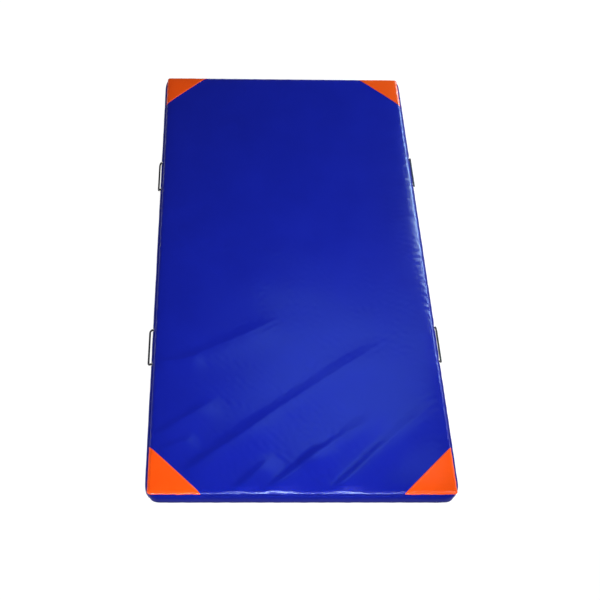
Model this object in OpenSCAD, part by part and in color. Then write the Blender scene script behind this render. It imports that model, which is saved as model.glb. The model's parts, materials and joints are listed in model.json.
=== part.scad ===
// Gym mat: a foam core in a sewn vinyl cover, with four carrying handles and a zip.
// The mat lies flat on Z = 0 with its length along Y. The zip is in the wall at +Y.

/* [Mat] */
// Length of the top between its seams
mat_l = 2000; // [1400:10:2400]
// Width of the top between its seams
mat_w = 1000; // [1000:10:1400]
// Height of the mat without its corner patches
mat_h = 60; // [56:1:80]
// Radius of the corners, seen from above
corner_r = 13; // [13:1:40]

/* [Cover] */
// Thickness of the vinyl sheet
sheet_t = 1; // [0.6:0.1:1.4]
// Thickness of the anti-slip sheet under the mat
base_t = 1.2; // [0.8:0.1:2]
// Radius of the rolled edge round the top
roll_r = 10; // [6:1:11]
// How far the walls stand out at half their height
wall_bulge = 8; // [8:0.5:10]

/* [Foam core] */
// Thickness of the soft upper foam layer
comfort_t = 20; // [10:1:30]
// Gap between the edge of the firm lower layer and the wall's seams
foam_gap = 5; // [5:0.5:8]

/* [Corner patches] */
// Length of a patch along each edge of the mat
patch_leg = 172; // [100:1:240]
// Thickness of a patch
patch_t = 0.6; // [0.4:0.1:1]

/* [Handles] */
// Overall length of a handle
handle_l = 154; // [110:1:180]
// Distance from the wall to the middle of the handle's grip
handle_reach = 15; // [14:0.5:30]
// Diameter of the handle's rod
handle_d = 7; // [5:0.5:7]
// Radius of the handle's bends, at the middle of the rod
handle_bend = 8; // [6:0.5:9]
// How far up the curved wall the handles leave it, as an angle
root_tilt = 17; // [0:1:20]

/* [Place and hang of each handle] */
// Distance of the left near handle from the middle of the mat, along its length
left_near_y = 418; // [250:1:550]
// Distance of the left far handle from the middle of the mat
left_far_y = 420; // [250:1:550]
// Distance of the right near handle from the middle of the mat
right_near_y = 401; // [250:1:550]
// Distance of the right far handle from the middle of the mat
right_far_y = 454; // [250:1:550]
// How far the left near handle hangs down from straight out of the wall
left_near_droop = 60; // [0:1:92]
// How far the left far handle hangs down
left_far_droop = 80; // [0:1:92]
// How far the right near handle hangs down
right_near_droop = 82; // [0:1:92]
// How far the right far handle hangs down, where 92 is almost against the wall
right_far_droop = 92; // [0:1:92]

/* [Eyelets and anchors] */
// Outer diameter of an eyelet's flanges
eyelet_d = 14; // [12:0.5:14]
// Thickness of an eyelet's flanges
flange_t = 1.2; // [0.8:0.1:1.2]
// Wall of an eyelet's barrel
barrel_t = 0.8; // [0.6:0.1:1]
// Height of the anchor strip behind each handle
anchor_h = 20; // [14:1:22]
// Thickness of the anchor strip
anchor_t = 1.6; // [1:0.1:2]

/* [Zip] */
// Length of the slot that the zip closes
slot_l = 900; // [600:10:920]
// Height of the slot
slot_h = 24; // [20:1:24]
// Length of the closed zip coils
coil_l = 840; // [540:10:860]
// Height of one coil
coil_h = 2.2; // [1.6:0.1:3]
// Thickness of the coils
coil_t = 2; // [1.5:0.1:2]
// Thickness of the zip tapes
tape_t = 0.8; // [0.5:0.1:0.8]
// Length of the slider
slider_l = 14; // [12:1:18]
// Length of the pull tab, from its pivot
pull_l = 30; // [20:1:34]
// Width of the pull tab
pull_w = 8; // [7:0.5:12]

/* [Hidden] */
$fn = 48;
side_x = mat_w / 2;
end_y = mat_l / 2;
cx = side_x - corner_r;
cy = end_y - corner_r;
wall_lo = base_t;
wall_hi = mat_h - roll_r;
wall_mid = (wall_lo + wall_hi) / 2;
wall_h = wall_hi - wall_lo;
bulge_r = (wall_h * wall_h / 4 + wall_bulge * wall_bulge) / (2 * wall_bulge);
bulge_x = side_x + wall_bulge - bulge_r;
clear = 0.3;
layer_split = mat_h - sheet_t - comfort_t;
slot_lo = wall_mid - slot_h / 2;
slot_hi = wall_mid + slot_h / 2;

// Handles: these X positions are for a handle at half the wall's height. at_handle() then turns it
// round the wall's curve. The flange's seat is cut flat into the wall, and the rod turns on its root.
seat_x = side_x + wall_bulge - 0.6;
flange_x = seat_x + flange_t;
root_d = handle_d + 0.8;
hinge_x = flange_x + clear + root_d / 2;
grip_x = side_x + wall_bulge + handle_reach;
root_y = (handle_l - handle_d) / 2;
bore_d = handle_d + 1;
barrel_d = bore_d + 2 * barrel_t;
inner_seat_x = side_x + wall_bulge - 0.6 - sheet_t;
anchor_x = inner_seat_x - flange_t - 0.3;
anchor_l = handle_l + 40;

// Zip: each depth is a Y position, counted outwards.
tape_y = end_y - 2.3;
coil_y = tape_y + tape_t;
plate_y = coil_y + coil_t + clear;
plate_t = 1.2;
crown_y = plate_y + plate_t;
crown_gap = 3.2;
crown_t = 1;
pivot_y = crown_y + 1.9;
tape_lap = 1.5;
tape_gap = 0.8;
stop_l = 3;
slider_x = coil_l / 2 - slider_l / 2 - 1;
cheek_z = coil_h + clear;
cheek_t = 1.2;
crown_l = 10;
crown_post = 1.4;
pull_bar_d = 1.6;
pull_arm = 7;
pull_arm_z = 2;
pull_arm_w = 1.2;
pull_t = 1.2;

// Outline of the mat from above, set in by a distance.
module outline(inset) {
    r = corner_r - inset;
    square([2 * (cx + r), 2 * cy], center = true);
    square([2 * cx, 2 * (cy + r)], center = true);
    for (sx = [-1, 1], sy = [-1, 1]) translate([sx * cx, sy * cy]) circle(r);
}

// A profile drawn as (distance out from the corner's centre, height), run along one edge.
module run_right() {
    translate([cx, cy, 0]) rotate([90, 0, 0]) linear_extrude(2 * cy) children();
}
module run_far() {
    translate([-cx, cy, 0]) rotate([0, 0, 90]) rotate([90, 0, 0]) linear_extrude(2 * cx) children();
}
// The same profile, turned round the corner at (+X, +Y).
module turn_corner() {
    translate([cx, cy, 0]) rotate_extrude(angle = 90) children();
}
module both_sides() {
    children();
    mirror([1, 0, 0]) children();
}
module at_near_end() {
    mirror([0, 1, 0]) children();
}

// The curved wall, between two heights.
module wall_profile(z_lo, z_hi) {
    intersection() {
        translate([corner_r + wall_bulge - bulge_r, wall_mid]) difference() {
            circle(bulge_r, $fn = 96);
            circle(bulge_r - sheet_t, $fn = 96);
        }
        translate([0, z_lo]) square([corner_r + wall_bulge, z_hi - z_lo]);
    }
}

// The rolled edge round the top, between two radii.
module roll_profile(r_in, r_out) {
    translate([corner_r - roll_r, wall_hi]) intersection() {
        difference() {
            circle(r_out);
            circle(r_in);
        }
        square(r_out);
    }
}

// The sheet that covers the top and rolls over its edges, between two depths.
module top_skin(depth_in, depth_out) {
    translate([0, 0, mat_h + depth_in]) linear_extrude(depth_out - depth_in) outline(roll_r);
    for (m = [0, 1]) mirror([m, 0, 0]) run_right() roll_profile(roll_r + depth_in, roll_r + depth_out);
    for (m = [0, 1]) mirror([0, m, 0]) run_far() roll_profile(roll_r + depth_in, roll_r + depth_out);
    for (mx = [0, 1], my = [0, 1]) mirror([mx, 0, 0]) mirror([0, my, 0]) turn_corner()
        roll_profile(roll_r + depth_in, roll_r + depth_out);
}

module foam_comfort_layer() {
    color("#e8e4d8") translate([0, 0, layer_split]) linear_extrude(comfort_t) outline(roll_r);
}

module foam_base_layer() {
    color("#8d8f93") translate([0, 0, base_t]) linear_extrude(layer_split - base_t) outline(foam_gap);
}

module base_sheet() {
    color("#23262b") linear_extrude(base_t) outline(0);
}

module cover_top() {
    color("#1c2ca8") top_skin(-sheet_t, 0);
}

// The handles' places along each side. Side is 1 for the right and -1 for the left.
function handle_ys(side) = side > 0 ? [-right_near_y, right_far_y] : [-left_near_y, left_far_y];
// Moves what is drawn for a handle in the middle of the right-hand wall to its own place.
module at_handle(side, y) {
    mirror([side < 0 ? 1 : 0, 0, 0]) translate([bulge_x, y, wall_mid])
        rotate([0, -root_tilt, 0]) translate([-bulge_x, 0, 0]) children();
}
// Moves what is drawn for one eyelet to both of a handle's roots.
module at_roots() {
    for (root = [-1, 1]) translate([0, root * root_y, 0]) children();
}

// The hole and flat seat for an eyelet.
module eyelet_cut() {
    rotate([0, 90, 0]) {
        translate([0, 0, inner_seat_x - wall_bulge]) cylinder(d = barrel_d, h = 3 * wall_bulge);
        translate([0, 0, seat_x]) cylinder(d = eyelet_d, h = wall_bulge);
    }
}

module long_wall(side) {
    color("#1b2794") difference() {
        mirror([side < 0 ? 1 : 0, 0, 0]) run_right() wall_profile(wall_lo, wall_hi);
        for (y = handle_ys(side)) at_handle(side, y) at_roots() eyelet_cut();
    }
}

module wall_right() {
    long_wall(1);
}

module wall_left() {
    long_wall(-1);
}

module wall_end(z_lo, z_hi) {
    color("#1b2794") {
        run_far() wall_profile(z_lo, z_hi);
        both_sides() turn_corner() wall_profile(z_lo, z_hi);
    }
}

module wall_near() {
    at_near_end() wall_end(wall_lo, wall_hi);
}

module wall_far_upper() {
    wall_end(slot_hi, wall_hi);
}

module wall_far_lower() {
    wall_end(wall_lo, slot_lo);
}

// Closes the slot between the end of the zip and the corner.
module zip_end_cover_right() {
    color("#18248c") {
        intersection() {
            run_far() wall_profile(slot_lo, slot_hi);
            translate([slot_l / 2, cy, 0]) cube([side_x, 2 * corner_r, mat_h]);
        }
        turn_corner() wall_profile(slot_lo, slot_hi);
    }
}

module zip_end_cover_left() {
    mirror([1, 0, 0]) zip_end_cover_right();
}

// A triangle of thin vinyl that follows the top and its rolled edge down to the seam.
module corner_patch() {
    out = 2 * patch_t;
    color("#f0521a") intersection() {
        top_skin(0, patch_t);
        linear_extrude(2 * mat_h) polygon([
            [side_x + out, end_y + out],
            [side_x - patch_leg - out, end_y + out],
            [side_x + out, end_y - patch_leg - out]
        ]);
    }
}

module patch_far_right() {
    corner_patch();
}

module patch_far_left() {
    mirror([1, 0, 0]) corner_patch();
}

module patch_near_right() {
    at_near_end() corner_patch();
}

module patch_near_left() {
    at_near_end() mirror([1, 0, 0]) corner_patch();
}

// A round rod bent into a flat bracket. It turns on the line through its two barrel-shaped roots.
module handle(droop) {
    reach = grip_x - hinge_x;
    color("#2b2a2e") translate([hinge_x, 0, 0]) rotate([0, droop, 0]) {
        for (s = [-1, 1]) translate([0, s * root_y, 0]) {
            rotate([90, 0, 0]) cylinder(d = root_d, h = root_d, center = true);
            rotate([0, 90, 0]) cylinder(d = handle_d, h = reach - handle_bend);
            translate([reach - handle_bend, -s * handle_bend, 0])
                rotate([0, 0, s > 0 ? 0 : -90]) rotate_extrude(angle = 90)
                translate([handle_bend, 0]) circle(d = handle_d);
        }
        translate([reach, root_y - handle_bend, 0]) rotate([90, 0, 0])
            cylinder(d = handle_d, h = 2 * (root_y - handle_bend));
    }
}

module handle_left_near() {
    at_handle(-1, handle_ys(-1)[0]) handle(left_near_droop);
}

module handle_left_far() {
    at_handle(-1, handle_ys(-1)[1]) handle(left_far_droop);
}

module handle_right_near() {
    at_handle(1, handle_ys(1)[0]) handle(right_near_droop);
}

module handle_right_far() {
    at_handle(1, handle_ys(1)[1]) handle(right_far_droop);
}

// The strip inside the wall that carries the pull, with the rod's two ends passing out of it.
module anchor() {
    color("#3a3a3f") {
        translate([anchor_x - anchor_t, -anchor_l / 2, -anchor_h / 2])
            cube([anchor_t, anchor_l, anchor_h]);
        at_roots() translate([anchor_x, 0, 0]) rotate([0, 90, 0])
            cylinder(d = handle_d, h = flange_x - anchor_x);
    }
}

module anchor_left_near() {
    at_handle(-1, handle_ys(-1)[0]) anchor();
}

module anchor_left_far() {
    at_handle(-1, handle_ys(-1)[1]) anchor();
}

module anchor_right_near() {
    at_handle(1, handle_ys(1)[0]) anchor();
}

module anchor_right_far() {
    at_handle(1, handle_ys(1)[1]) anchor();
}

// A barrel through the wall with a flange on each face.
module eyelet() {
    rotate([0, 90, 0]) difference() {
        union() {
            translate([0, 0, inner_seat_x - flange_t])
                cylinder(d = barrel_d, h = flange_x - inner_seat_x + flange_t);
            translate([0, 0, inner_seat_x - flange_t]) cylinder(d = eyelet_d, h = flange_t);
            translate([0, 0, seat_x]) cylinder(d = eyelet_d, h = flange_t);
        }
        translate([0, 0, inner_seat_x - 2 * flange_t]) cylinder(d = bore_d, h = 5 * flange_t + sheet_t);
    }
}

module handle_eyelets() {
    color("#c9ccd0") for (side = [-1, 1], y = handle_ys(side)) at_handle(side, y) at_roots() eyelet();
}

module zip_tape_upper() {
    color("#202a70") translate([-slot_l / 2, tape_y, wall_mid + tape_gap / 2])
        cube([slot_l, tape_t, (slot_h - tape_gap) / 2 + tape_lap]);
}

module zip_tape_lower() {
    translate([0, 0, 2 * wall_mid]) mirror([0, 0, 1]) zip_tape_upper();
}

module zip_coil_upper() {
    color("#2b2d33") translate([-coil_l / 2, coil_y, wall_mid]) cube([coil_l, coil_t, coil_h]);
}

module zip_coil_lower() {
    translate([0, 0, 2 * wall_mid]) mirror([0, 0, 1]) zip_coil_upper();
}

// A metal clamp across the coils at each end, which stops the slider.
module zip_stops() {
    color("#b9bcc2") both_sides() translate([coil_l / 2, coil_y, wall_mid - coil_h])
        cube([stop_l, coil_t + 0.6, 2 * coil_h]);
}

module zip_slider() {
    color("#c2c5ca") translate([slider_x, 0, wall_mid]) {
        translate([-slider_l / 2, plate_y, -cheek_z - cheek_t])
            cube([slider_l, plate_t, 2 * (cheek_z + cheek_t)]);
        for (s = [-1, 1]) translate([-slider_l / 2, coil_y + clear, s > 0 ? cheek_z : -cheek_z - cheek_t])
            cube([slider_l, coil_t, cheek_t]);
        translate([0, crown_y, 0]) {
            for (s = [-1, 1]) translate([s * (crown_l - crown_post) / 2 - crown_post / 2, 0, -1])
                cube([crown_post, crown_gap + crown_t, 2]);
            translate([-crown_l / 2, crown_gap, -1]) cube([crown_l, crown_t, 2]);
        }
    }
}

// A tab on a small bar that turns under the slider's crown.
module zip_pull() {
    half = pull_arm_z + pull_arm_w;
    color("#a9acb2") translate([slider_x, pivot_y, wall_mid]) {
        translate([0, 0, -half]) cylinder(d = pull_bar_d, h = 2 * half);
        for (s = [-1, 1]) translate([-pull_arm, -pull_t / 2, s > 0 ? pull_arm_z : -half])
            cube([pull_arm, pull_t, pull_arm_w]);
        difference() {
            translate([-pull_l, -pull_t / 2, -pull_w / 2]) cube([pull_l - pull_arm, pull_t, pull_w]);
            translate([-pull_l + 5, -pull_t, 0]) rotate([-90, 0, 0]) cylinder(d = 3.5, h = 2 * pull_t);
        }
    }
}

foam_comfort_layer();
foam_base_layer();
base_sheet();
cover_top();
wall_left();
wall_right();
wall_near();
wall_far_upper();
wall_far_lower();
zip_end_cover_left();
zip_end_cover_right();
patch_near_left();
patch_near_right();
patch_far_left();
patch_far_right();
handle_left_near();
handle_left_far();
handle_right_near();
handle_right_far();
anchor_left_near();
anchor_left_far();
anchor_right_near();
anchor_right_far();
handle_eyelets();
zip_tape_upper();
zip_tape_lower();
zip_coil_upper();
zip_coil_lower();
zip_stops();
zip_slider();
zip_pull();
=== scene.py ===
import json
import math

import bmesh
import bpy
import numpy as np
from mathutils import Matrix, Vector
from mathutils.bvhtree import BVHTree

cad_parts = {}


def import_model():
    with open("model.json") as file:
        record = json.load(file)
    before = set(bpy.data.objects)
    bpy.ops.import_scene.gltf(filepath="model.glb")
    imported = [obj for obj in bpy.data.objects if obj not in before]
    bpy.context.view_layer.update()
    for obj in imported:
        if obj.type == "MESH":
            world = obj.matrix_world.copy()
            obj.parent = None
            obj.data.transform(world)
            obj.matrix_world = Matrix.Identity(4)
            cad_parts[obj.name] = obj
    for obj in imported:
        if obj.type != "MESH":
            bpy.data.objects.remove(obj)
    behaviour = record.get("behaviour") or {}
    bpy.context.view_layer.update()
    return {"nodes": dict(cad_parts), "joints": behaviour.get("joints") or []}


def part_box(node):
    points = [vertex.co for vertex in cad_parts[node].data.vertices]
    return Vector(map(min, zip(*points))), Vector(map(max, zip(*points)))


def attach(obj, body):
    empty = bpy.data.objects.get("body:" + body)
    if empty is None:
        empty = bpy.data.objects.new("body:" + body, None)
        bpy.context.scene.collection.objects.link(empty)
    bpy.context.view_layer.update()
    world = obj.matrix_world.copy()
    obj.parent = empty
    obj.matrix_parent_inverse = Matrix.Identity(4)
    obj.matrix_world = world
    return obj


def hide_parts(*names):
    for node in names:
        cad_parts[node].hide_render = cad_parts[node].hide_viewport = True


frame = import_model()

# ---------------------------------------------------------------- sizes, from the frame
MM = 0.001
COVER_LOW, COVER_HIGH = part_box("cover_top")
WALL_LOW, WALL_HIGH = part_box("wall_right")
SIDE_X = COVER_HIGH.x
END_Y = COVER_HIGH.y
TOP_Z = COVER_HIGH.z
SEAM_Z = COVER_LOW.z
ROLL_R = TOP_Z - SEAM_Z
WALL_FOOT = WALL_LOW.z
WALL_MID = (WALL_LOW.z + WALL_HIGH.z) / 2
BULGE = WALL_HIGH.x - SIDE_X
CORNER_R = END_Y - WALL_HIGH.y
CX = SIDE_X - CORNER_R
CY = END_Y - CORNER_R
PATCH_LEG = SIDE_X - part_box("patch_near_right")[0].x
SLOT_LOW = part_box("wall_far_lower")[1].z
SLOT_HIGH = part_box("wall_far_upper")[0].z
TAPE_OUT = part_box("zip_tape_upper")[1].y - END_Y

# The long walls are arcs in section, and each handle's eyelets point out along the arc's radius.
WALL_H = WALL_HIGH.z - WALL_LOW.z
BULGE_R = (WALL_H ** 2 / 4 + BULGE ** 2) / (2 * BULGE)
BULGE_X = SIDE_X + BULGE - BULGE_R

# ---------------------------------------------------------------- sizes of the visible detail
SHEET_T = 0.9 * MM          # thickness of the cover's vinyl
PATCH_T = 0.7 * MM
HEM = 5 * MM                # width of the top's hem
TUCK = 4.5 * MM             # how far each sheet goes in at a seam
WALL_STEP = 10 * MM         # between a wall's points along the mat's outline
FOOT_CORNER_R = 18 * MM     # the mat's corners at the floor
FOOT_POWER = 1.05           # their form: 2 is round and 1 is cut straight
ROD_R = 3.5 * MM
KNUCKLE_R = 3.9 * MM
HANDLE_BEND = 8 * MM
STITCH_R = 0.38 * MM
STITCH_LENGTH = 3.4 * MM
STITCH_PITCH = 5 * MM
WELD = 1e-6                 # points nearer than this are one point

# The colour sockets of a mix node, whose names its other sockets share.
MIX_FIRST, MIX_SECOND, MIX_RESULT = 6, 7, 2


# ---------------------------------------------------------------- node materials
class Nodes:
    """A short way to write a material's node tree."""

    def __init__(self, name):
        self.material = bpy.data.materials.new(name)
        self.material.use_nodes = True
        self.tree = self.material.node_tree
        self.shader = self.tree.nodes["Principled BSDF"]
        self.place = self.add("ShaderNodeTexCoord").outputs["Object"]

    def add(self, kind, **settings):
        node = self.tree.nodes.new(kind)
        for key, value in settings.items():
            setattr(node, key, value)
        return node

    def link(self, source, target):
        self.tree.links.new(source, target)

    def feed(self, socket, value):
        """Links a node's output to a socket, or sets a plain value on it."""
        if isinstance(value, bpy.types.NodeSocket):
            self.link(value, socket)
        else:
            socket.default_value = value

    def noise(self, scale, detail=3.0, place=None):
        node = self.add("ShaderNodeTexNoise")
        node.inputs["Scale"].default_value = scale
        node.inputs["Detail"].default_value = detail
        self.link(self.place if place is None else place, node.inputs["Vector"])
        return node.outputs["Fac"]

    def cells(self, scale):
        node = self.add("ShaderNodeTexVoronoi")
        node.inputs["Scale"].default_value = scale
        self.link(self.place, node.inputs["Vector"])
        return node.outputs["Distance"]

    def stretched(self, stretch):
        node = self.add("ShaderNodeMapping")
        node.inputs["Scale"].default_value = stretch
        self.link(self.place, node.inputs["Vector"])
        return node.outputs["Vector"]

    def waves(self, direction, scale):
        node = self.add("ShaderNodeTexWave", bands_direction=direction)
        node.inputs["Scale"].default_value = scale
        node.inputs["Distortion"].default_value = 0.4
        self.link(self.place, node.inputs["Vector"])
        return node.outputs["Fac"]

    def ramp(self, source, stops):
        node = self.add("ShaderNodeValToRGB")
        elements = node.color_ramp.elements
        while len(elements) < len(stops):
            elements.new(0.5)
        for element, (at, colour) in zip(elements, stops):
            element.position = at
            element.color = (*colour, 1)
        self.link(source, node.inputs["Fac"])
        return node.outputs["Color"]

    def spread(self, source, low, high):
        node = self.add("ShaderNodeMapRange")
        node.inputs["To Min"].default_value = low
        node.inputs["To Max"].default_value = high
        self.link(source, node.inputs["Value"])
        return node.outputs["Result"]

    def sum(self, first, second, operation="ADD"):
        node = self.add("ShaderNodeMath", operation=operation)
        self.feed(node.inputs[0], first)
        self.feed(node.inputs[1], second)
        return node.outputs["Value"]

    def mix(self, factor, first, second, blend="MIX"):
        node = self.add("ShaderNodeMix", data_type="RGBA", blend_type=blend)
        self.feed(node.inputs["Factor"], factor)
        self.feed(node.inputs[MIX_FIRST], first)
        self.feed(node.inputs[MIX_SECOND], second)
        return node.outputs[MIX_RESULT]

    def bump(self, height, distance, strength, under=None):
        node = self.add("ShaderNodeBump")
        node.inputs["Distance"].default_value = distance
        node.inputs["Strength"].default_value = strength
        self.link(height, node.inputs["Height"])
        if under is not None:
            self.link(under, node.inputs["Normal"])
        self.link(node.outputs["Normal"], self.shader.inputs["Normal"])
        return node.outputs["Normal"]

    def set(self, **values):
        for key, value in values.items():
            self.shader.inputs[key.replace("_", " ")].default_value = value


def shade(colour, factor):
    return tuple(min(1.0, c * factor) for c in colour)


def vinyl(name, colour, rough=0.22, gloss=0.35):
    """Calendered vinyl on a woven scrim: fine pebble grain, a faint weave and soft mottling."""
    n = Nodes(name)
    mottle = n.noise(7, detail=4)
    fine = n.noise(160, detail=2)
    base = n.ramp(mottle, [(0.3, shade(colour, 0.95)), (0.7, shade(colour, 1.05))])
    speck = n.spread(fine, 0.0, 0.12)
    vinyl_colour = n.mix(speck, base, (*shade(colour, 0.75), 1))
    n.link(vinyl_colour, n.shader.inputs["Base Color"])
    n.link(n.spread(n.sum(mottle, fine, "MULTIPLY"), rough - 0.04, rough + 0.12),
           n.shader.inputs["Roughness"])
    scrim = n.sum(n.waves("X", 280), n.waves("Y", 280))
    weave = n.bump(scrim, 0.02 * MM, 0.5)
    n.bump(n.cells(1100), 0.05 * MM, 0.55, under=weave)
    n.set(Specular_IOR_Level=gloss)
    return n, vinyl_colour, mottle


def cover_vinyl(name, colour, **settings):
    return vinyl(name, colour, **settings)[0].material


def wall_vinyl_painted_shade(name, colour):
    """The same vinyl on the walls, with painted shade: darker than the top's vinyl, and darker
    still towards the floor.
    """
    # Painted shade: the wall's colour is multiplied by these greys at its foot, at mid-height and
    # at its top seam.
    foot, middle, seam = ((grey,) * 3 for grey in (0.3, 0.5, 0.7))
    n, vinyl_colour, mottle = vinyl(name, colour, rough=0.4, gloss=0.03)
    split = n.add("ShaderNodeSeparateXYZ")
    n.link(n.place, split.inputs["Vector"])
    height = n.sum(n.sum(split.outputs["Z"], 18, "MULTIPLY"), n.spread(mottle, -0.06, 0.06))
    # The painted shade follows the height up the wall, a little uneven.
    painted_shade = n.ramp(height, [(0.0, foot), (0.45, middle), (0.9, seam)])
    n.link(n.mix(1, vinyl_colour, painted_shade, "MULTIPLY"), n.shader.inputs["Base Color"])
    return n.material


def grip_vinyl(name, colour):
    """The anti-slip sheet: small raised dots in rows on a dull woven ground."""
    n = Nodes(name)
    base = n.ramp(n.noise(20, detail=5), [(0.3, shade(colour, 0.8)), (0.75, shade(colour, 1.25))])
    n.link(base, n.shader.inputs["Base Color"])
    rows = n.sum(n.waves("X", 50), n.waves("Y", 50), "MULTIPLY")
    dots = n.spread(rows, -0.6, 1.0)
    ground = n.bump(n.noise(600, detail=2), 0.05 * MM, 0.5)
    n.bump(dots, 0.5 * MM, 0.8, under=ground)
    n.link(n.spread(rows, 0.85, 0.55), n.shader.inputs["Roughness"])
    n.set(Specular_IOR_Level=0.3)
    return n.material


def foam(name, colour, cell):
    """Cut foam: open cells and a dusty colour."""
    n = Nodes(name)
    base = n.ramp(n.noise(60, detail=6), [(0.3, shade(colour, 0.82)), (0.7, shade(colour, 1.05))])
    n.link(base, n.shader.inputs["Base Color"])
    n.bump(n.cells(1 / cell), 0.4 * MM, 0.9)
    n.link(n.spread(n.noise(200), 0.85, 1.0), n.shader.inputs["Roughness"])
    n.set(Specular_IOR_Level=0.2)
    return n.material


def moulded(name, colour, rough=0.5):
    """Moulded rubbery plastic with a fine satin skin, rubbed smoother in places."""
    n = Nodes(name)
    wear = n.noise(45, detail=4)
    base = n.ramp(wear, [(0.35, colour), (0.75, shade(colour, 1.7))])
    n.link(base, n.shader.inputs["Base Color"])
    n.link(n.spread(wear, rough - 0.1, rough + 0.15), n.shader.inputs["Roughness"])
    n.bump(n.noise(1400), 0.03 * MM, 0.6)
    return n.material


def metal(name, colour, rough=0.28):
    """Plated metal with small scratches."""
    n = Nodes(name)
    scratch = n.noise(900, detail=4, place=n.stretched((1, 8, 1)))
    base = n.ramp(n.noise(120), [(0.3, shade(colour, 0.85)), (0.7, colour)])
    n.link(base, n.shader.inputs["Base Color"])
    n.link(n.spread(scratch, rough - 0.08, rough + 0.16), n.shader.inputs["Roughness"])
    n.bump(scratch, 0.01 * MM, 0.4)
    n.set(Metallic=1.0)
    return n.material


def cloth(name, colour, pitch):
    """A plain woven fabric with a slight nap."""
    n = Nodes(name)
    weave = n.sum(n.waves("X", 1 / pitch), n.waves("Z", 1 / pitch))
    base = n.ramp(n.noise(300), [(0.3, shade(colour, 0.75)), (0.7, shade(colour, 1.2))])
    n.link(base, n.shader.inputs["Base Color"])
    n.bump(weave, 0.12 * MM, 0.8)
    n.link(n.spread(weave, 0.7, 0.95), n.shader.inputs["Roughness"])
    n.set(Sheen_Weight=0.25, Sheen_Roughness=0.5)
    return n.material


BLUE = (0.0049, 0.011, 0.28)
ORANGE = (0.99, 0.084, 0.0035)
MATERIALS = {
    "cover": cover_vinyl("cover_vinyl", BLUE),
    # The walls: the cover's blue with painted shade, darker towards the floor.
    "wall": wall_vinyl_painted_shade("wall_vinyl_painted_shade", BLUE),
    "patch": cover_vinyl("patch_vinyl", ORANGE, gloss=0.45),
    "grip": grip_vinyl("grip_vinyl", (0.02, 0.022, 0.027)),
    "soft_foam": foam("soft_foam", (0.78, 0.75, 0.66), 1.2 * MM),
    "firm_foam": foam("firm_foam", (0.26, 0.27, 0.29), 2.5 * MM),
    "handle": moulded("handle_rubber", (0.022, 0.02, 0.023)),
    "webbing": cloth("anchor_webbing", (0.03, 0.03, 0.035), 1.5 * MM),
    "nickel": metal("nickel_plate", (0.72, 0.71, 0.68)),
    "tape": cloth("zip_tape_cloth", (0.012, 0.022, 0.2), 0.8 * MM),
    "coil": moulded("zip_coil_nylon", (0.015, 0.016, 0.02), rough=0.4),
    "thread": cloth("cover_thread", (0.014, 0.03, 0.38), 0.4 * MM),
    "patch_thread": cloth("patch_thread", (0.8, 0.13, 0.02), 0.4 * MM),
}


# ---------------------------------------------------------------- mesh helpers
def object_of(name, mesh, material, smooth=True):
    """Puts a mesh into the scene as an object of one material."""
    mesh.materials.clear()
    mesh.materials.append(material)
    mesh.polygons.foreach_set("use_smooth", [smooth] * len(mesh.polygons))
    obj = bpy.data.objects.new(name, mesh)
    bpy.context.scene.collection.objects.link(obj)
    return obj


def new_object(name, points, faces, material):
    mesh = bpy.data.meshes.new(name)
    mesh.from_pydata([tuple(p) for p in points], [], [tuple(f) for f in faces])
    mesh.validate()
    return object_of(name, mesh, MATERIALS[material])


def grid_faces(rows, columns, flip=False, closed=False):
    """Quads over a grid of points stored row by row.

    A closed grid joins its last column to its first."""
    faces = []
    for i in range(rows - 1):
        for j in range(columns if closed else columns - 1):
            k = (j + 1) % columns
            row, below = i * columns, (i + 1) * columns
            quad = (row + j, row + k, below + k, below + j)
            faces.append(quad[::-1] if flip else quad)
    return faces


def points_of(obj):
    points = np.zeros(len(obj.data.vertices) * 3)
    obj.data.vertices.foreach_get("co", points)
    return points.reshape(-1, 3)


def put_points(obj, points):
    obj.data.vertices.foreach_set("co", np.ascontiguousarray(points, float).ravel())
    obj.data.update()


def apply_modifiers(obj):
    """Bakes an object's modifiers into its mesh."""
    bpy.context.view_layer.update()
    seen = obj.evaluated_get(bpy.context.evaluated_depsgraph_get())
    mesh = bpy.data.meshes.new_from_object(seen)
    obj.modifiers.clear()
    obj.data = mesh


def thicken(obj, thickness, offset=-1.0):
    """Gives a sheet its thickness. Offset -1 grows it inwards and 1 outwards."""
    solid = obj.modifiers.new("Solid", "SOLIDIFY")
    solid.thickness = thickness
    solid.offset = offset
    solid.use_even_offset = False
    apply_modifiers(obj)


def refine(obj):
    smooth = obj.modifiers.new("Refine", "SUBSURF")
    smooth.levels = 1
    smooth.render_levels = 1
    apply_modifiers(obj)


def ripple(along, lengths, seed):
    """A sum of sine waves with fixed phases, about -1 to 1."""
    phases = np.random.default_rng(seed).uniform(0, 2 * math.pi, len(lengths))
    total = sum(np.sin(2 * math.pi * along / length + phase)
                for length, phase in zip(lengths, phases))
    return total / len(lengths) ** 0.5


def finish_piece(obj, body, slot, *nodes):
    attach(obj, body)
    if nodes:
        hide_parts(*nodes)


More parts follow.
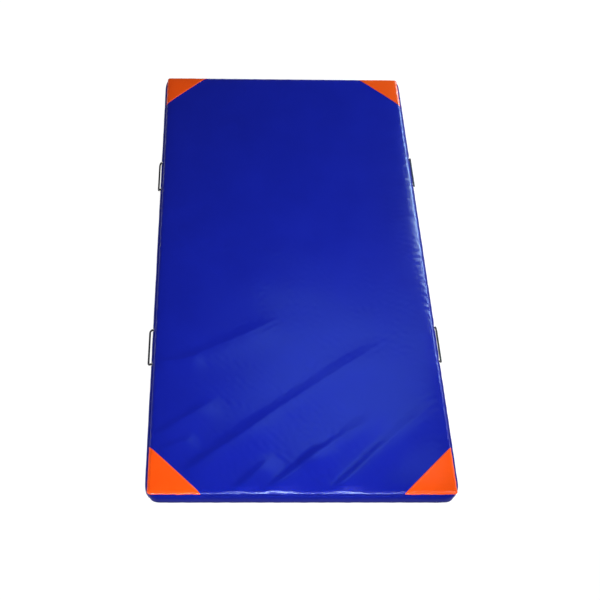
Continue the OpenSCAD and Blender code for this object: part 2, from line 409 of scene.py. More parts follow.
# ---------------------------------------------------------------- the top sheet
# Each soft fold: the ends of its steep side on the mat, in metres, and its height and width.
# The steep side faces the far left, and the gentle side the near right.
FOLDS = [
    ((-0.485, -0.487), (-0.32, -0.460), 3.1 * MM, 22 * MM),
    ((-0.41, -0.485), (-0.05, -0.285), 4.3 * MM, 28 * MM),
    ((-0.48, -0.780), (-0.27, -0.622), 4.9 * MM, 22 * MM),
    ((-0.47, -0.838), (-0.34, -0.782), 3.2 * MM, 15 * MM),
    ((-0.385, -0.915), (-0.07, -0.670), 8.3 * MM, 30 * MM),
    ((-0.17, -0.745), (0.36, -0.345), 4.8 * MM, 32 * MM),
    ((-0.235, -0.998), (-0.09, -0.850), 6.2 * MM, 21 * MM),
    ((-0.135, -0.998), (0.10, -0.800), 7.8 * MM, 25 * MM),
    ((0.00, -0.880), (0.29, -0.670), 5.3 * MM, 28 * MM),
    ((0.08, -0.998), (0.29, -0.796), 7.0 * MM, 24 * MM),
    ((0.22, -0.860), (0.47, -0.630), 5.1 * MM, 27 * MM),
]
# Puckers where the near edge is gathered into its seam: place along the edge, depth and half width.
PUCKERS = [(-0.245, 1.5 * MM, 7 * MM), (-0.197, 2.0 * MM, 6 * MM), (-0.152, 1.7 * MM, 6 * MM),
           (0.084, 1.9 * MM, 7 * MM), (0.150, 0.9 * MM, 8 * MM)]
FOLD_FADE = 22 * MM         # the folds flatten over this width at the mat's edge
SAG = 0.5 * MM              # height of the slow waves between the folds
RIM_DIP = 5 * MM            # how far the top falls towards its edge,
RIM_REACH = 16 * MM         # and over what width


def fold_height(x, y):
    """Height of the soft folds at points of the flat top."""
    total = np.zeros_like(x)
    for start, end, depth, width in FOLDS:
        a, b = np.array(start), np.array(end)
        length = np.linalg.norm(b - a)
        along_x, along_y = (b - a) / length
        along = ((x - a[0]) * along_x + (y - a[1]) * along_y) / length
        across = (x - a[0]) * along_y - (y - a[1]) * along_x
        fade = np.clip((along + 0.08) / 0.25, 0, 1) * np.clip((1 - along) / 0.4, 0, 1)
        fade = fade * fade * (3 - 2 * fade)
        side = across / (width * (0.8 + 0.4 * np.clip(along, 0, 1))) - 0.7
        total += depth * fade * np.exp(-(np.where(side < 0, side, side / 2.3) ** 2))
    return total


def pucker_depth(x, y):
    """Depth of the near edge's puckers, which die out inwards from the seam."""
    total = np.zeros_like(x)
    inwards = np.exp(-np.maximum(y + END_Y, 0) / (11 * MM)) * (y < 0)
    for place, depth, width in PUCKERS:
        side = (x - place + 0.35 * (y + END_Y)) / width
        hollow = np.exp(-side ** 2)
        shoulders = 0.55 * np.exp(-((np.abs(side) - 2.1) ** 2))
        total += depth * inwards * (hollow - shoulders)
    return total


def grid_lines(half, reach, cells, border_cells):
    """Grid lines across a sheet: even in the middle and closer in the border."""
    inner = np.linspace(-half, half, cells + 1)
    outer = half + reach * np.linspace(0, 1, border_cells + 1)[1:]
    return np.concatenate([-outer[::-1], inner, outer])


def unrolled_grid(half_x, half_y, reach, cell, border_cells):
    """A sheet's grid with its square corners turned into quarter discs.

    Returns the nearest points of the inner rectangle, the outward directions, the distances from
    it, and the grid's counts of rows and columns."""
    xs = grid_lines(half_x, reach, round(2 * half_x / cell), border_cells)
    ys = grid_lines(half_y, reach, round(2 * half_y / cell), border_cells)
    p, q = (m.ravel() for m in np.meshgrid(xs, ys))
    a = np.maximum(np.abs(p) - half_x, 0)
    b = np.maximum(np.abs(q) - half_y, 0)
    far = np.maximum(a, b)
    near = np.minimum(a, b)
    slant = math.pi / 4 * near / np.maximum(far, 1e-12)
    angle = np.where(a >= b, slant, math.pi / 2 - slant)
    inner = np.stack([np.clip(p, -half_x, half_x), np.clip(q, -half_y, half_y)], axis=1)
    out = np.stack([np.sign(p) * np.cos(angle), np.sign(q) * np.sin(angle)], axis=1)
    return inner, out, far, len(ys), len(xs)


def top_sheet():
    """The top: soft folds, an edge that rolls down to the seam, and a hem in the seam's groove.

    Returns it, and which of its points are sewn down."""
    flat = CORNER_R - ROLL_R
    arc = ROLL_R * math.pi / 2
    inner, out, rho, rows, columns = unrolled_grid(CX, CY, flat + arc + HEM, 11 * MM, 11)
    turn = np.clip((rho - flat) / ROLL_R, 0, math.pi / 2)
    tuck = np.clip(rho - flat - arc, 0, HEM) / HEM
    reach = np.minimum(rho, flat) + ROLL_R * np.sin(turn) - TUCK * tuck
    height = TOP_Z - ROLL_R * (1 - np.cos(turn)) - 0.4 * MM * tuck
    points = np.column_stack([inner + out * reach[:, None], height])
    normal = np.column_stack([out * np.sin(turn)[:, None], np.cos(turn)])
    x, y = points[:, 0], points[:, 1]
    edge = np.minimum(SIDE_X - np.abs(x), END_Y - np.abs(y))
    level = np.cos(turn) * (tuck == 0)
    relief = fold_height(x, y) * np.clip(edge / FOLD_FADE, 0.12, 1)
    sag = SAG * ripple(x * 0.8 + y, (0.61, 0.37, 0.29), 1) * ripple(y - x, (0.9, 0.43), 2)
    dip = -RIM_DIP * np.exp(-np.maximum(edge, 0) / RIM_REACH)
    gather = pucker_depth(x, y) * (1 - tuck)
    points = points + normal * ((relief + sag + dip) * level - gather)[:, None]
    obj = new_object("cover_top_sheet", points, grid_faces(rows, columns), "cover")
    return obj, rho >= flat + arc - 0.1 * MM


def settle(obj, sewn, slack, cap):
    """Cloth simulation of a sheet that is a little larger than its place, sewn down at its rim.

    Weak pins stand in for the foam under it, so the extra cloth goes into small soft buckles.
    No point moves further than the cap."""
    frames = 18
    foam_hold = 0.42
    before = points_of(obj)
    group = obj.vertex_groups.new(name="held")
    for points, weight in ((sewn, 1.0), (~sewn, foam_hold)):
        group.add([int(i) for i in np.flatnonzero(points)], weight, "REPLACE")
    cloth_modifier = obj.modifiers.new("Cloth", "CLOTH")
    settings = cloth_modifier.settings
    settings.quality = 5
    settings.mass = 0.1
    settings.tension_stiffness = 30
    settings.compression_stiffness = 30
    settings.shear_stiffness = 12
    settings.bending_stiffness = 0.8
    settings.vertex_group_mass = "held"
    settings.pin_stiffness = 0.6
    settings.shrink_min = -slack
    settings.shrink_max = -slack
    settings.effector_weights.gravity = 0
    cloth_modifier.collision_settings.use_collision = False
    cloth_modifier.point_cache.frame_start = 1
    cloth_modifier.point_cache.frame_end = frames
    for number in range(1, frames + 1):
        bpy.context.scene.frame_set(number)
    apply_modifiers(obj)
    obj.vertex_groups.clear()
    bpy.context.scene.frame_set(1)
    move = points_of(obj) - before
    size = np.linalg.norm(move, axis=1, keepdims=True)
    capped = before + move * np.minimum(1, cap / np.maximum(size, 1e-9))
    put_points(obj, capped)


def pucker_seam(obj, seam_z, reach, height, seed):
    """Small puckers where the sheet is gathered into the seam, stronger on the near edge."""
    points = points_of(obj)
    x, y, z = points.T
    out = np.stack([np.maximum(np.abs(x) - CX, 0) * np.sign(x),
                    np.maximum(np.abs(y) - CY, 0) * np.sign(y)], axis=1)
    size = np.linalg.norm(out, axis=1)
    along = np.where(np.abs(out[:, 0]) >= np.abs(out[:, 1]), y, x)
    near_seam = np.exp(-(((z - seam_z) / reach) ** 2)) * np.clip(size / (6 * MM), 0, 1)
    stronger = np.where(y < -CY, 1.5, 1.0)
    swell = 0.55 + 0.45 * ripple(along, (0.37, 0.21), seed + 1)
    wave = ripple(along, (0.031, 0.019, 0.047, 0.083), seed) * swell
    out = out / np.maximum(size, 1e-9)[:, None]
    points[:, :2] += out * (height * near_seam * stronger * wave)[:, None]
    put_points(obj, points)


cover, sewn_down = top_sheet()
settle(cover, sewn_down, slack=0.004, cap=3 * MM)
refine(cover)
pucker_seam(cover, SEAM_Z + 3 * MM, 8 * MM, 0.55 * MM, 11)


# ---------------------------------------------------------------- corner patches and stitches
def corner_patch(name, sx, sy, node):
    """A second layer of vinyl on the top: a corner cut from its surface, thickened outwards."""
    work = bmesh.new()
    work.from_mesh(cover.data)
    limit = Vector((sx * (SIDE_X - PATCH_LEG), sy * END_Y, 0))
    bmesh.ops.bisect_plane(work, geom=work.verts[:] + work.edges[:] + work.faces[:], dist=WELD,
                           plane_co=limit, plane_no=Vector((sx, sy, 0)), clear_inner=True)
    low = [v for v in work.verts if v.co.z < SEAM_Z + 0.2 * MM]
    bmesh.ops.delete(work, geom=low, context="VERTS")
    mesh = bpy.data.meshes.new(name)
    work.to_mesh(mesh)
    work.free()
    obj = object_of(name, mesh, MATERIALS["patch"])
    thicken(obj, PATCH_T, offset=1.0)
    finish_piece(obj, "root", "patch_vinyl", node)
    return obj


def stitches(name, spots, material):
    """Small arched stitches: each spot is (middle, direction along, up)."""
    points, faces = [], []
    sides = 6
    # Each ring: its place along the stitch, its width, and its lift out of the cloth.
    rings = ((-0.5, 0.0, -0.4), (-0.42, 0.75, 0.1), (-0.15, 1.0, 0.35),
             (0.15, 1.0, 0.35), (0.42, 0.75, 0.1), (0.5, 0.0, -0.4))
    for middle, along, up in spots:
        side = along.cross(up).normalized()
        start = len(points)
        for at, swell, lift in rings:
            for k in range(sides):
                angle = 2 * math.pi * k / sides
                wide = STITCH_R * max(swell, 0.25)
                points.append(middle + along * (at * STITCH_LENGTH) + up * (lift * STITCH_R)
                              + (side * math.cos(angle) + up * math.sin(angle)) * wide)
        for i in range(len(rings) - 1):
            for k in range(sides):
                j = (k + 1) % sides
                faces.append((start + i * sides + k, start + i * sides + j,
                              start + (i + 1) * sides + j, start + (i + 1) * sides + k))
        faces.append(tuple(start + k for k in reversed(range(sides))))
        faces.append(tuple(start + (len(rings) - 1) * sides + k for k in range(sides)))
    return new_object(name, points, faces, material)


def stitch_row(name, sheet, starts, aim, along, material):
    """Stitches on a sheet, at each place where a line from a start point meets it."""
    seen = BVHTree.FromObject(sheet, bpy.context.evaluated_depsgraph_get())
    hits = [seen.ray_cast(start, aim) for start in starts]
    spots = [(hit, along, normal) for hit, normal, _, _ in hits if hit is not None]
    finish_piece(stitches(name, spots, material), "root", material)


def patch_stitches(name, patch, sx, sy):
    """Stitches along the slanting edge of a patch, 5 mm in from it."""
    inset = 5 * MM * math.sqrt(2)
    start = Vector((sx * (SIDE_X - PATCH_LEG + inset), sy * END_Y))
    step = Vector((sx, -sy)).normalized()
    length = (PATCH_LEG - inset) * math.sqrt(2)
    starts = [Vector((*(start + step * (k * STITCH_PITCH)), 1.0))
              for k in range(3, int(length / STITCH_PITCH) - 2)]
    stitch_row(name, patch, starts, Vector((0, 0, -1)), Vector((*step, 0)), "patch_thread")


for end, sy in (("near", -1), ("far", 1)):
    for side, sx in (("left", -1), ("right", 1)):
        patch = corner_patch(f"corner_patch_{end}_{side}", sx, sy, f"patch_{end}_{side}")
        patch_stitches(f"patch_stitches_{end}_{side}", patch, sx, sy)

thicken(cover, SHEET_T)
finish_piece(cover, "root", "cover_vinyl", "cover_top")


# ---------------------------------------------------------------- where the handles leave the walls
def bulge_centre(hinge):
    """The centre of the wall's arc, level with a handle's hinge."""
    return Vector((math.copysign(BULGE_X, hinge.x), hinge.y, WALL_MID))


def handle_roots():
    """For each handle: its hinge line's middle, the way its eyelets face and half their gap."""
    roots = {}
    for joint in frame["joints"]:
        if joint["child"].startswith("handle_"):
            hinge = Vector(joint["pos_m"])
            low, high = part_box(joint["child"])
            normal = (hinge - bulge_centre(hinge)).normalized()
            key = joint["child"].removeprefix("handle_")
            roots[key] = (hinge, normal, (high.y - low.y) / 2 - KNUCKLE_R)
    return roots


ROOTS = handle_roots()
ANY_HINGE = ROOTS["left_near"][0]
# From a hinge line in to the flat that the wall is pressed to, 0.6 mm inside its arc.
SEAT_DEPTH = (ANY_HINGE - bulge_centre(ANY_HINGE)).length - BULGE_R + 0.6 * MM


def press_seats(obj):
    """Presses the wall flat round each eyelet, as a tight eyelet does."""
    outer_r, blend = 19 * MM, 10 * MM
    points = points_of(obj)
    for hinge, normal, root_y in ROOTS.values():
        for y in (-root_y, root_y):
            seat = np.array(hinge + Vector((0, y, 0)) - normal * SEAT_DEPTH)
            away = points - seat
            height = away @ np.array(normal)
            spread = np.linalg.norm(away - height[:, None] * np.array(normal), axis=1)
            share = np.clip((outer_r - spread) / blend, 0, 1)
            share = share * share * (3 - 2 * share) * (np.abs(height) < 6 * MM)
            points -= np.array(normal) * (share * (height + 0.15 * MM))[:, None]
    put_points(obj, points)


# ---------------------------------------------------------------- walls
def corner_share(across, along, power):
    """How far a corner of radius 1 reaches in a direction. Power 2 is round, 1 cut straight."""
    return (np.abs(across) ** power + np.abs(along) ** power) ** (-1 / power)


def plan_point(x, y, radius, power, out):
    """A point of the mat's outline moved on to an outline with other corners, and outwards."""
    cx, cy = SIDE_X - radius, END_Y - radius
    dx, dy = max(abs(x) - cx, 0), max(abs(y) - cy, 0)
    size = math.hypot(dx, dy)
    reach = radius * corner_share(dx / size, dy / size, power) + out
    px = min(abs(x), cx) + dx / size * reach
    py = min(abs(y), cy) + dy / size * reach
    return math.copysign(px, x), math.copysign(py, y)


def side_outline(sx):
    """Points along the straight part of a long wall."""
    count = round(2 * CY / WALL_STEP)
    return [(sx * SIDE_X, -CY + 2 * CY * k / count) for k in range(count + 1)]


def end_outline(sy, x_from=-math.inf, x_to=math.inf):
    """Points along a short wall with its two corners, or along a part of it."""
    turns = 7
    angles = [math.pi / 2 * k / turns for k in range(turns)]
    left = [(-CX - CORNER_R * math.cos(a), sy * (CY + CORNER_R * math.sin(a))) for a in angles]
    count = round(2 * CX / WALL_STEP)
    middle = [(-CX + 2 * CX * k / count, sy * END_Y) for k in range(count + 1)]
    right = [(-x, y) for x, y in reversed(left)]
    return [p for p in left + middle + right if x_from <= p[0] <= x_to]


def wall_rows(z_low, z_high, rows=15):
    """Heights and outward distances down the wall's profile, from its top seam to its foot."""
    half = (SEAM_Z - WALL_FOOT) / 2 + 0.2 * MM
    pairs = []
    for k in range(rows + 1):
        angle = math.pi / 2 - math.pi * k / rows
        s, c = math.sin(angle), math.cos(angle)
        z = WALL_MID + half * math.copysign(abs(s) ** 0.75, s)
        out = -TUCK + (BULGE + TUCK) * max(c, 0.0) ** 0.62
        pairs.append((z, out))
    return [p for p in pairs if z_low - 1e-9 <= p[0] <= z_high + 1e-9]


def lip(z, out, up):
    """The wall's folded edge beside the zip, from its last row in to the tape.

    Up is 1 for the wall's upper strip and -1 for its lower one."""
    return [(z - up * 0.9 * MM, out - 0.3 * MM), (z - up * 1.2 * MM, out - 1.2 * MM),
            (z - up * 1.1 * MM, (out + TAPE_OUT) / 2), (z - up * 0.6 * MM, TAPE_OUT + 0.3 * MM)]


def wall(name, outline, rows, node, seed):
    """A wall as a grid: along its outline, and down the rows of its profile."""
    travel = [0.0]
    for (x0, y0), (x1, y1) in zip(outline, outline[1:]):
        travel.append(travel[-1] + math.hypot(x1 - x0, y1 - y0))
    travel = np.array(travel)
    total = travel[-1]
    low = ripple(travel, (0.23, 0.41, 0.13), seed)
    small = ripple(travel, (0.029, 0.047, 0.071), seed + 1)
    points = []
    for z, out in rows:
        h = (z - WALL_FOOT) / (SEAM_Z - WALL_FOOT)
        low_share = 1 - min(max(h, 0.0), 1.0)
        radius = CORNER_R + (FOOT_CORNER_R - CORNER_R) * low_share
        power = 2 - (2 - FOOT_POWER) * low_share
        by_top_seam = math.exp(-(((h - 0.88) / 0.14) ** 2))
        by_seam = by_top_seam + 0.7 * math.exp(-(((h - 0.12) / 0.14) ** 2))
        middle = math.exp(-(((h - 0.5) / 0.3) ** 2))
        for k, (x, y) in enumerate(outline):
            ends = min(travel[k], total - travel[k])
            seam = 1.3 * MM * math.exp(-((ends / (3 * MM)) ** 2))
            extra = 0.45 * MM * middle * low[k] + 0.5 * MM * by_seam * small[k] - seam
            taut = math.exp(-((max(SIDE_X - abs(x), END_Y - abs(y)) / (20 * MM)) ** 2))
            flat_out = out - 0.9 * taut * (out + TUCK)
            px, py = plan_point(x, y, radius, power, flat_out + extra * (out > -TUCK + 1 * MM))
            points.append((px, py, z))
    flip = outline[0][1] > 0 if abs(outline[0][1] - outline[-1][1]) < END_Y else outline[0][0] < 0
    obj = new_object(name, points, grid_faces(len(rows), len(outline), flip=flip), "wall")
    refine(obj)
    if node in ("wall_left", "wall_right"):
        press_seats(obj)
    thicken(obj, SHEET_T)
    finish_piece(obj, "root", "cover_vinyl", node)
    return obj


full = wall_rows(0, TOP_Z)
upper = wall_rows(SLOT_HIGH, TOP_Z)
upper = upper + lip(*upper[-1], 1)
lower = wall_rows(0, SLOT_LOW)
lower = lip(*lower[0], -1)[::-1] + lower
wall("left_wall_sheet", side_outline(-1), full, "wall_left", 21)
wall("right_wall_sheet", side_outline(1), full, "wall_right", 23)
wall("near_wall_sheet", end_outline(-1), full, "wall_near", 25)
upper_sheet = wall("far_wall_upper_sheet", end_outline(1), upper, "wall_far_upper", 27)
lower_sheet = wall("far_wall_lower_sheet", end_outline(1), lower, "wall_far_lower", 29)
slot_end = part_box("zip_end_cover_right")[0].x
covers = wall_rows(SLOT_LOW - 2 * MM, SLOT_HIGH + 2 * MM, rows=30)
covers = [(z, out - 0.6 * MM) for z, out in covers]
right_end = end_outline(1, x_from=slot_end - 1 * MM)
left_end = end_outline(1, x_to=-slot_end + 1 * MM)
wall("zip_end_cover_right_sheet", right_end, covers, "zip_end_cover_right", 31)
wall("zip_end_cover_left_sheet", left_end, covers, "zip_end_cover_left", 33)


# ---------------------------------------------------------------- the sheet under the mat
def under_sheet():
    """The anti-slip sheet: flat on the floor, with an edge that turns up into the bottom seam."""
    turn_r = 2.5 * MM
    half_x, half_y = SIDE_X - FOOT_CORNER_R, END_Y - FOOT_CORNER_R
    flat = FOOT_CORNER_R - turn_r
    arc = turn_r * math.pi / 2
    inner, out, rho, rows, columns = unrolled_grid(half_x, half_y, flat + arc, 25 * MM, 14)
    turn = np.clip((rho - flat) / turn_r, 0, math.pi / 2)
    reach = np.minimum(rho, flat) + turn_r * np.sin(turn)
    reach = reach * corner_share(out[:, 0], out[:, 1], FOOT_POWER) - 1.5 * MM * rho / (flat + arc)
    height = turn_r * (1 - np.cos(turn))
    points = np.column_stack([inner + out * reach[:, None], height])
    obj = new_object("under_sheet", points, grid_faces(rows, columns, flip=True), "grip")
    refine(obj)
    points = points_of(obj)
    points[:, 2] = np.maximum(points[:, 2], 0)
    put_points(obj, points)
    thicken(obj, 1.0 * MM)
    finish_piece(obj, "root", "grip_sheet", "base_sheet")


under_sheet()


# ---------------------------------------------------------------- foam core
def foam_pad(name, node, material, round_low, round_high, top_gap):
    """A foam slab with rounded edges: rings round its side, and one flat face above and below."""
    low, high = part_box(node)
    half_x, half_y = high.x, high.y
    low_z, high_z = low.z + 0.6 * MM, high.z - top_gap
    radius = 20 * MM
    path = []
    for k in range(7):
        angle = math.pi / 2 * k / 6
        path.append((round_low * (1 - math.sin(angle)), low_z + round_low * (1 - math.cos(angle))))
    for k in range(7):
        angle = math.pi / 2 * k / 6
        path.append((round_high * (1 - math.cos(angle)),
                     high_z - round_high * (1 - math.sin(angle))))
    outline = []
    for quarter, (sx, sy) in enumerate(((1, 1), (-1, 1), (-1, -1), (1, -1))):
        for k in range(9):
            angle = math.pi / 2 * (quarter + k / 8)
            outline.append((sx * (half_x - radius), sy * (half_y - radius),
                            math.cos(angle), math.sin(angle)))
    points = []
    for inset, z in path:
        for bx, by, dx, dy in outline:
            points.append((bx + dx * (radius - inset), by + dy * (radius - inset), z))
    count = len(outline)
    faces = grid_faces(len(path), count, closed=True)
    faces.append(tuple(reversed(range(count))))
    faces.append(tuple((len(path) - 1) * count + k for k in range(count)))
    obj = new_object(name, points, faces, material)
    finish_piece(obj, "root", material, node)


foam_pad("foam_comfort_pad", "foam_comfort_layer", "soft_foam",
         round_low=1 * MM, round_high=6 * MM, top_gap=6 * MM)
foam_pad("foam_base_pad", "foam_base_layer", "firm_foam",
         round_low=4 * MM, round_high=1 * MM, top_gap=0.6 * MM)


# ---------------------------------------------------------------- handles and eyelets
def tube(points, radii, sides=16):
    """A round tube along points, with closed ends."""
    points = [Vector(p) for p in points]
    rings, normal = [], Vector((0, 1, 0))
    for k, p in enumerate(points):
        ahead = (points[min(k + 1, len(points) - 1)] - points[max(k - 1, 0)]).normalized()
        side = ahead.cross(normal).normalized() if abs(ahead.dot(normal)) < 0.9 else side
        side = (side - ahead * side.dot(ahead)).normalized()
        up = ahead.cross(side)
        for j in range(sides):
            angle = 2 * math.pi * j / sides
            rings.append(p + (side * math.cos(angle) + up * math.sin(angle)) * radii[k])
    faces = grid_faces(len(points), sides, flip=True, closed=True)
    faces.append(tuple(range(sides)))
    faces.append(tuple((len(points) - 1) * sides + j for j in reversed(range(sides))))
    return rings, faces


def handle_rod(name, hinge, out, reach, root_y):
    """The part that swings: a rod from one round knuckle, round two bends, to the other."""
    flat = reach - HANDLE_BEND
    line = [(KNUCKLE_R * math.sin(math.pi / 2 * k / 6), -root_y) for k in range(-6, 0)]
    radii = [KNUCKLE_R * max(math.cos(math.pi / 2 * k / 6), 0.08) for k in range(-6, 0)]
    line += [(flat * k / 3, -root_y) for k in range(3)]
    radii += [KNUCKLE_R, 0.98 * KNUCKLE_R, 0.93 * KNUCKLE_R]
    turns = 9
    for k in range(turns + 1):
        angle = math.pi / 2 * k / turns
        line.append((flat + HANDLE_BEND * math.sin(angle),
                     -root_y + HANDLE_BEND * (1 - math.cos(angle))))
    straight = 14
    for k in range(1, straight // 2 + 1):
        line.append((reach, (-root_y + HANDLE_BEND) * (1 - 2 * k / straight)))
    radii += [ROD_R] * (len(line) - len(radii))
    line += [(x, -y) for x, y in reversed(line[:-1])]
    radii += radii[-2::-1]
    points, faces = tube([hinge + out * x + Vector((0, y, 0)) for x, y in line], radii)
    return new_object(name, points, faces, "handle")


def handle_root(name, spots, inwards):
    """The part that stays: the rod's two ends, which go through the eyelets into the wall."""
    points, faces = [], []
    for spot in spots:
        steps = [spot + inwards * (distance * MM) for distance in (0.8, 2, 4, 6, 8.5)]
        more, loops = tube(steps, [0.93 * ROD_R, ROD_R, ROD_R, ROD_R, ROD_R])
        faces += [tuple(len(points) + i for i in loop) for loop in loops]
        points += more
    return new_object(name, points, faces, "handle")


def eyelet(spot, normal):
    """A rolled eyelet on the wall: a domed flange and a barrel through it, as a turned ring."""
    # Radius and distance out of the wall, in millimetres.
    profile = [(4.0, -4.4), (4.0, 0.55), (4.15, 0.95), (4.6, 1.2), (5.2, 1.22), (6.1, 0.95),
               (6.8, 0.45), (7.0, 0.0), (6.9, -0.4), (4.8, -0.4), (4.8, -4.4)]
    sides = 36
    across = Vector((0, 1, 0))
    up = normal.cross(across)
    points = []
    for r, out in profile:
        for k in range(sides):
            angle = 2 * math.pi * k / sides
            around = across * math.cos(angle) + up * math.sin(angle)
            points.append(spot + normal * (out * MM) + around * (r * MM))
    count = len(profile)
    faces = []
    for i in range(count):
        for k in range(sides):
            j, n = (k + 1) % sides, (i + 1) % count
            faces.append((i * sides + k, i * sides + j, n * sides + j, n * sides + k))
    return points, faces


def handles():
    rings, ring_faces = [], []
    for key, (hinge, normal, root_y) in ROOTS.items():
        low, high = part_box(f"handle_{key}")
        grip_x = max(abs(low.x), abs(high.x)) - ROD_R
        above, below = high.z - ROD_R, low.z + ROD_R
        grip_z = above if above - hinge.z > hinge.z - below else below
        arm = Vector((math.copysign(grip_x, hinge.x) - hinge.x, 0, grip_z - hinge.z))
        rod = handle_rod(f"handle_{key}_rod", hinge, arm.normalized(), arm.length, root_y)
        finish_piece(rod, f"handle_{key}", "handle_rubber", f"handle_{key}")
        spots = [hinge + Vector((0, y, 0)) for y in (-root_y, root_y)]
        root = handle_root(f"handle_{key}_root", spots, -normal)
        finish_piece(root, "root", "handle_rubber")
        for spot in spots:
            points, faces = eyelet(spot - normal * SEAT_DEPTH, normal)
            ring_faces += [tuple(len(rings) + i for i in face) for face in faces]
            rings += points
    eyelets = new_object("eyelets", rings, ring_faces, "nickel")
    finish_piece(eyelets, "root", "nickel", "handle_eyelets")


handles()


# ---------------------------------------------------------------- zip
def zip_tape(name, node):
    """A strip of cloth beside the coils, whose ends are hidden under the end covers."""
    low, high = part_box(node)
    columns, rows = 180, 6
    hidden = 6 * MM
    points = []
    for i in range(rows + 1):
        z = low.z + (high.z - low.z) * i / rows
        for k in range(columns + 1):
            x = low.x - hidden + (high.x - low.x + 2 * hidden) * k / columns
            wave = 0.15 * MM * math.sin(2 * math.pi * x / 0.047) * math.sin(math.pi * i / rows)
            points.append((x, high.y - 0.1 * MM + wave, z))
    obj = new_object(name, points, grid_faces(rows + 1, columns + 1, flip=True), "tape")
    thicken(obj, 0.6 * MM)
    finish_piece(obj, "root", "zip_tape", node)


def zip_coil(name, node, up):
    """One side's nylon coil: a flattened helix whose turns lock with the other side's."""
    low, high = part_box(node)
    pitch = 2.4 * MM
    turns = int((high.x - low.x - 1 * MM) / pitch)
    per_turn = 10
    wire = 0.36 * MM
    middle_z = WALL_MID + up * 0.95 * MM
    middle_y = (low.y + high.y) / 2
    path = []
    for k in range(turns * per_turn + 1):
        angle = 2 * math.pi * k / per_turn
        x = low.x + 0.5 * MM + pitch * k / per_turn + (0.5 * pitch if up < 0 else 0)
        path.append((x, middle_y + 0.62 * MM * math.cos(angle),
                     middle_z + up * 0.9 * MM * math.sin(angle)))
    points, faces = tube(path, [wire] * len(path), sides=5)
    obj = new_object(name, points, faces, "coil")
    finish_piece(obj, "root", "zip_coil", node)


zip_tape("zip_tape_upper_cloth", "zip_tape_upper")
zip_tape("zip_tape_lower_cloth", "zip_tape_lower")
zip_coil("zip_coil_upper_nylon", "zip_coil_upper", 1)
zip_coil("zip_coil_lower_nylon", "zip_coil_lower", -1)


def bevelled_copy(node, name, width):
    """A plated CAD node's shape with its sharp edges rounded, as a cast or pressed piece has."""
    mesh = frame["nodes"][node].data.copy()
    work = bmesh.new()
    work.from_mesh(mesh)
    bmesh.ops.remove_doubles(work, verts=work.verts, dist=WELD)
    bmesh.ops.dissolve_limit(work, angle_limit=0.02, verts=work.verts, edges=work.edges)
    sharp = [e for e in work.edges if len(e.link_faces) == 2 and e.calc_face_angle(0) > 0.7]
    bmesh.ops.bevel(work, geom=sharp, offset=width, segments=2, profile=0.6,
                    affect="EDGES", clamp_overlap=True)
    work.to_mesh(mesh)
    work.free()
    return object_of(name, mesh, MATERIALS["nickel"], smooth=False)


for node, name, body, width in (("zip_slider", "slider_body", "zip_slider", 0.28 * MM),
                                ("zip_pull", "slider_pull_tab", "zip_pull", 0.28 * MM),
                                ("zip_stops", "zip_end_clamps", "root", 0.25 * MM)):
    finish_piece(bevelled_copy(node, name, width), body, "nickel", node)


def lip_stitches(name, sheet, z):
    """A row of stitches beside the zip, through the wall's folded lip."""
    reach = slot_end - 4 * MM
    starts = [Vector((-reach + STITCH_PITCH * k, END_Y + 0.05, z))
              for k in range(int(2 * reach / STITCH_PITCH))]
    stitch_row(name, sheet, starts, Vector((0, -1, 0)), Vector((1, 0, 0)), "thread")


lip_stitches("zip_stitches_upper", upper_sheet, SLOT_HIGH + 3 * MM)
lip_stitches("zip_stitches_lower", lower_sheet, SLOT_LOW - 3 * MM)

for side in ("left", "right"):
    for end in ("near", "far"):
        strip = frame["nodes"][f"anchor_{side}_{end}"]
        strip.data.materials.clear()
        strip.data.materials.append(MATERIALS["webbing"])


# ---------------------------------------------------------------- floor, light and camera
def emitter(name, colour, strength):
    material = bpy.data.materials.new(name)
    material.use_nodes = True
    shader = material.node_tree.nodes["Principled BSDF"]
    shader.inputs["Base Color"].default_value = (*colour, 1)
    shader.inputs["Roughness"].default_value = 0.9
    shader.inputs["Emission Color"].default_value = (1, 1, 1, 1)
    shader.inputs["Emission Strength"].default_value = strength
    return material


def floor():
    """A flat floor whose far parts rise gently, so that it is also the backdrop of a low view."""
    mesh = bpy.data.meshes.new("floor")
    points = [(sx * size, sy * size, z) for size, z in ((30, -0.0005), (60, 12.0))
              for sx, sy in ((-1, -1), (1, -1), (1, 1), (-1, 1))]
    rise = [(k, k + 4, (k + 1) % 4 + 4, (k + 1) % 4) for k in range(4)]
    mesh.from_pydata(points, [], [(0, 1, 2, 3)] + rise)
    object_of("floor", mesh, emitter("studio_floor", (0.1, 0.1, 0.1), 1.0), smooth=False)


def place_light(data, place, target, energy, colour=(1, 1, 1)):
    data.energy = energy
    data.color = colour
    obj = bpy.data.objects.new(data.name, data)
    obj.location = place
    obj.rotation_euler = (Vector(target) - Vector(place)).to_track_quat("-Z", "Y").to_euler()
    bpy.context.scene.collection.objects.link(obj)


def area_light(name, place, target, size, energy, colour=(1, 1, 1), spread=180):
    data = bpy.data.lights.new(name, "AREA")
    data.shape = "RECTANGLE"
    data.size, data.size_y = size
    data.spread = math.radians(spread)
    place_light(data, place, target, energy, colour)


def spot_light(name, place, target, angle, radius, energy):
    data = bpy.data.lights.new(name, "SPOT")
    data.spot_size = math.radians(angle)
    data.spot_blend = 1.0
    data.shadow_soft_size = radius
    place_light(data, place, target, energy)


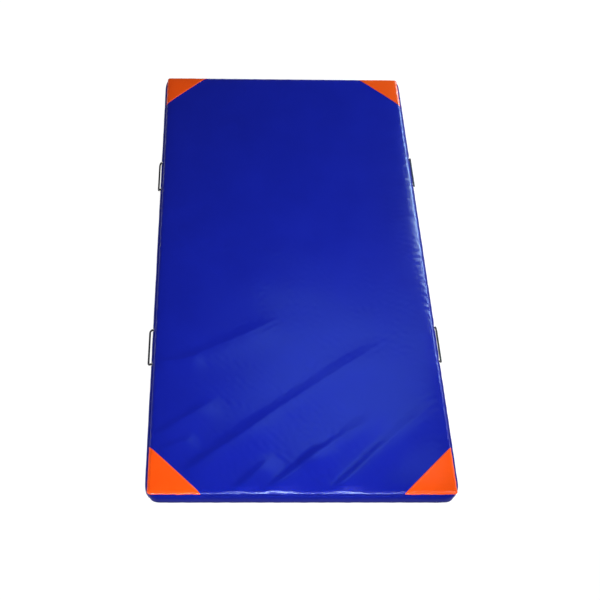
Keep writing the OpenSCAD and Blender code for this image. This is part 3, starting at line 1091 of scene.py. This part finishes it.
def camera():
    """The camera of the reference view: place in metres, angles in radians."""
    place = Vector((-0.2697, -2.5632, 3.1154))
    yaw, pitch, roll = -0.0395, 0.9082, 0.0359
    forward = Vector((-math.sin(yaw) * math.cos(pitch), math.cos(yaw) * math.cos(pitch),
                      -math.sin(pitch)))
    right = Vector((math.cos(yaw), math.sin(yaw), 0))
    up = right.cross(forward)
    turned = right * math.cos(roll) + up * math.sin(roll)
    over = turned.cross(forward)
    data = bpy.data.cameras.new("camera")
    data.sensor_width = 36
    data.lens = 63.33
    data.shift_x = 0.0911
    data.shift_y = -0.0148
    data.clip_start = 0.05
    data.clip_end = 100
    obj = bpy.data.objects.new("camera", data)
    axes = Matrix((turned, over, -forward)).transposed()
    obj.matrix_world = Matrix.Translation(place) @ axes.to_4x4()
    bpy.context.scene.collection.objects.link(obj)
    bpy.context.scene.camera = obj


def world(strength):
    scene = bpy.context.scene
    scene.world = bpy.data.worlds.new("studio")
    scene.world.use_nodes = True
    background = scene.world.node_tree.nodes["Background"]
    background.inputs["Color"].default_value = (1, 1, 1, 1)
    background.inputs["Strength"].default_value = strength


camera()
floor()
world(0.05)
spot_light("key", (1.3, -1.55, 1.75), (-0.8, 0.25, 0.0), 68, 0.3, 365)
area_light("left_fill", (-2.4, -1.0, 1.1), (-0.4, -0.3, 0.0), (0.8, 0.8), 18)
area_light("sheen", (0.45, 0.7, 2.1), (0.1, -0.5, 0.0), (1.1, 0.9), 4, (0.4, 0.8, 1.0))
# Two narrow lights that draw the bright lines on the rolled edges.
area_light("near_line", (0.0, -2.0, 0.68), (-0.05, -1.0, 0.03), (1.1, 0.04), 1.35,
           (0.6, 0.8, 1.0), spread=40)
area_light("right_line", (1.58, 1.26, 0.35), (0.5, 0.3, 0.05), (1.9, 0.16), 1.9,
           (0.48, 0.8, 1.0), spread=50)
area_light("far_fill", (1.5, 1.5, 1.2), (0.1, 0.4, 0.0), (0.7, 0.7), 27, (0.6, 0.85, 1.0))
bpy.context.scene.view_settings.view_transform = "Standard"
